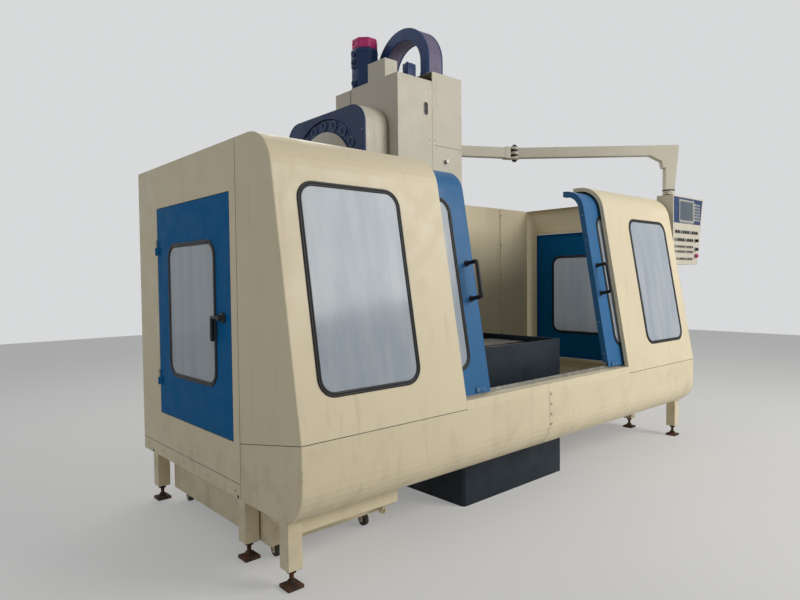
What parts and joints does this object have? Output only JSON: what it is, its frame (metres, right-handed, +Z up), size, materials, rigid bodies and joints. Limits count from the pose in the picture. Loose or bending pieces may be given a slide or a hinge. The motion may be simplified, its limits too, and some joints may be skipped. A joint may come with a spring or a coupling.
{
  "type": "cnc machining center",
  "caption": "Vertical machining centre with a C-frame column, two sliding front doors, end service doors, disc tool magazine and a swinging control panel.",
  "frame": {"origin": "on the floor under the base casting, straight below the spindle axis", "axes": "+X to the operator's right along the table, +Y from the front doors to the rear, +Z up"},
  "size_m": [5.035, 2.345, 3.6202],
  "materials": {
    "slate_paint": "satin, scratched",
    "cream_paint": "semi-gloss, aged",
    "navy_paint": "satin",
    "crimson_cap": "matte",
    "rusty_steel": "rusted",
    "rubber": "matte",
    "safety_glass": "hazy",
    "ground_steel": "ground, oily",
    "carrier_plastic": "satin",
    "door_blue": "semi-gloss",
    "side_blue": "satin",
    "black_plastic": "satin",
    "wheel_rubber": "matte"
  },
  "bodies": {
    "root": {"base_casting": "slate_paint", "column": "cream_paint", "z_motor": "navy_paint", "z_motor_cap": "crimson_cap", "enclosure_frame": "cream_paint", "levelling_feet": "rusty_steel", "front_apron_left": "cream_paint", "front_apron_right": "cream_paint", "left_front_panel": "cream_paint", "right_front_panel": "cream_paint", "front_gaskets": "rubber", "front_glass": "safety_glass", "left_end_caps": "cream_paint", "left_side_wall": "cream_paint", "right_end_caps": "cream_paint", "right_side_wall": "cream_paint", "rear_walls": "cream_paint", "door_rails": "ground_steel", "chip_pans": "cream_paint", "coolant_tank": "cream_paint", "magazine_housing": "cream_paint", "magazine_face": "navy_paint", "electrical_cabinet": "cream_paint", "cable_carrier": "carrier_plastic", "way_cover_front": "ground_steel"},
    "left_door": {"left_door": "door_blue", "left_door_gasket": "rubber", "left_door_glass": "safety_glass", "left_door_handle": "black_plastic"},
    "right_door": {"right_door": "door_blue", "right_door_gasket": "rubber", "right_door_glass": "safety_glass", "right_door_handle": "black_plastic"},
    "left_side_door": {"left_side_door": "side_blue", "left_side_gasket": "rubber", "left_side_glass": "safety_glass"},
    "left_latch": {"left_latch": "black_plastic"},
    "right_side_door": {"right_side_door": "side_blue", "right_side_gasket": "rubber", "right_side_glass": "safety_glass"},
    "right_latch": {"right_latch": "black_plastic"},
    "saddle": {"saddle": "slate_paint", "way_cover_rear": "ground_steel"},
    "way_cover_middle": {"way_cover_middle": "ground_steel"},
    "table": {"table": "ground_steel"},
    "head": {"head_cover": "cream_paint", "head_casting": "slate_paint"},
    "spindle": {"spindle": "ground_steel"},
    "magazine_disc": {"magazine_disc": "navy_paint"},
    "arm_link_1": {"arm_link_1": "cream_paint"},
    "arm_link_2": {"arm_link_2": "cream_paint"},
    "pendant": {"pendant_case": "cream_paint", "pendant_screen": "navy_paint"},
    "emergency_stop": {"emergency_stop": "crimson_cap"},
    "mode_knob": {"mode_knob": "black_plastic"},
    "feed_knob": {"feed_knob": "black_plastic"},
    "caster_wheel_1": {"caster_wheel_1": "wheel_rubber"},
    "caster_wheel_2": {"caster_wheel_2": "wheel_rubber"},
    "caster_wheel_3": {"caster_wheel_3": "wheel_rubber"},
    "caster_wheel_4": {"caster_wheel_4": "wheel_rubber"}
  },
  "joints": [
    {"name": "left_door_slide", "type": "slide", "parent": "root", "child": "left_door", "axis": [1, 0, 0], "range_m": [-0.19, 0.7]},
    {"name": "right_door_slide", "type": "slide", "parent": "root", "child": "right_door", "axis": [1, 0, 0], "range_m": [-0.72, 0.13]},
    {"name": "left_side_door_hinge", "type": "hinge", "parent": "root", "child": "left_side_door", "pos_m": [-1.998, 0.359, 0.9], "axis": [0, 0, 1], "range_deg": [-110, 0]},
    {"name": "right_side_door_hinge", "type": "hinge", "parent": "root", "child": "right_side_door", "pos_m": [2.283, 0.359, 0.9], "axis": [0, 0, 1], "range_deg": [0, 110]},
    {"name": "left_latch_turn", "type": "hinge", "parent": "left_side_door", "child": "left_latch", "pos_m": [-1.99, -0.593, 1.3], "axis": [1, 0, 0], "range_deg": [0, 90]},
    {"name": "right_latch_turn", "type": "hinge", "parent": "right_side_door", "child": "right_latch", "pos_m": [2.275, -0.593, 1.3], "axis": [1, 0, 0], "range_deg": [0, 90]},
    {"name": "saddle_slide", "type": "slide", "parent": "root", "child": "saddle", "axis": [0, 1, 0], "range_m": [-0.2, 0.18]},
    {"name": "middle_cover_slide", "type": "slide", "parent": "root", "child": "way_cover_middle", "axis": [0, 1, 0], "range_m": [-0.1, 0.09]},
    {"name": "table_slide", "type": "slide", "parent": "saddle", "child": "table", "axis": [1, 0, 0], "range_m": [-0.3, 0.9]},
    {"name": "head_slide", "type": "slide", "parent": "root", "child": "head", "axis": [0, 0, 1], "range_m": [-0.52, 0], "deforming": ["cable_carrier"]},
    {"name": "spindle_spin", "type": "hinge", "parent": "head", "child": "spindle", "pos_m": [0, 0, 1.9], "axis": [0, 0, 1], "continuous": true},
    {"name": "magazine_spin", "type": "hinge", "parent": "root", "child": "magazine_disc", "pos_m": [-0.6, 0.423, 2.31], "axis": [1, 0, 0], "continuous": true},
    {"name": "arm_swing", "type": "hinge", "parent": "root", "child": "arm_link_1", "pos_m": [0.43, 0.43, 2.7], "axis": [0, 0, 1], "range_deg": [0, 35]},
    {"name": "elbow_swing", "type": "hinge", "parent": "arm_link_1", "child": "arm_link_2", "pos_m": [1.32012, -0.04728, 2.7], "axis": [0, 0, 1], "range_deg": [0, 45]},
    {"name": "pendant_swivel", "type": "hinge", "parent": "arm_link_2", "child": "pendant", "pos_m": [2.39, -1.07, 2.25], "axis": [0, 0, 1], "range_deg": [-30, 35]},
    {"name": "emergency_stop_push", "type": "slide", "parent": "pendant", "child": "emergency_stop", "axis": [0, 1, 0], "range_m": [0, 0.006], "stiffness_N_per_m": 800},
    {"name": "mode_knob_turn", "type": "hinge", "parent": "pendant", "child": "mode_knob", "pos_m": [2.815, -1.15, 1.856], "axis": [0, 1, 0], "range_deg": [-60, 60]},
    {"name": "feed_knob_turn", "type": "hinge", "parent": "pendant", "child": "feed_knob", "pos_m": [2.815, -1.15, 1.77], "axis": [0, 1, 0], "range_deg": [-135, 135]},
    {"name": "caster_1_spin", "type": "hinge", "parent": "root", "child": "caster_wheel_1", "pos_m": [-1.825, -0.834, 0.038], "axis": [1, 0, 0], "continuous": true},
    {"name": "caster_2_spin", "type": "hinge", "parent": "root", "child": "caster_wheel_2", "pos_m": [-1.22, -0.834, 0.038], "axis": [1, 0, 0], "continuous": true},
    {"name": "caster_3_spin", "type": "hinge", "parent": "root", "child": "caster_wheel_3", "pos_m": [-1.825, 0.31, 0.038], "axis": [1, 0, 0], "continuous": true},
    {"name": "caster_4_spin", "type": "hinge", "parent": "root", "child": "caster_wheel_4", "pos_m": [-1.22, 0.31, 0.038], "axis": [1, 0, 0], "continuous": true}
  ],
  "couplings": [
    {"joint": "middle_cover_slide", "follows": "saddle_slide", "ratio": 0.5}
  ]
}
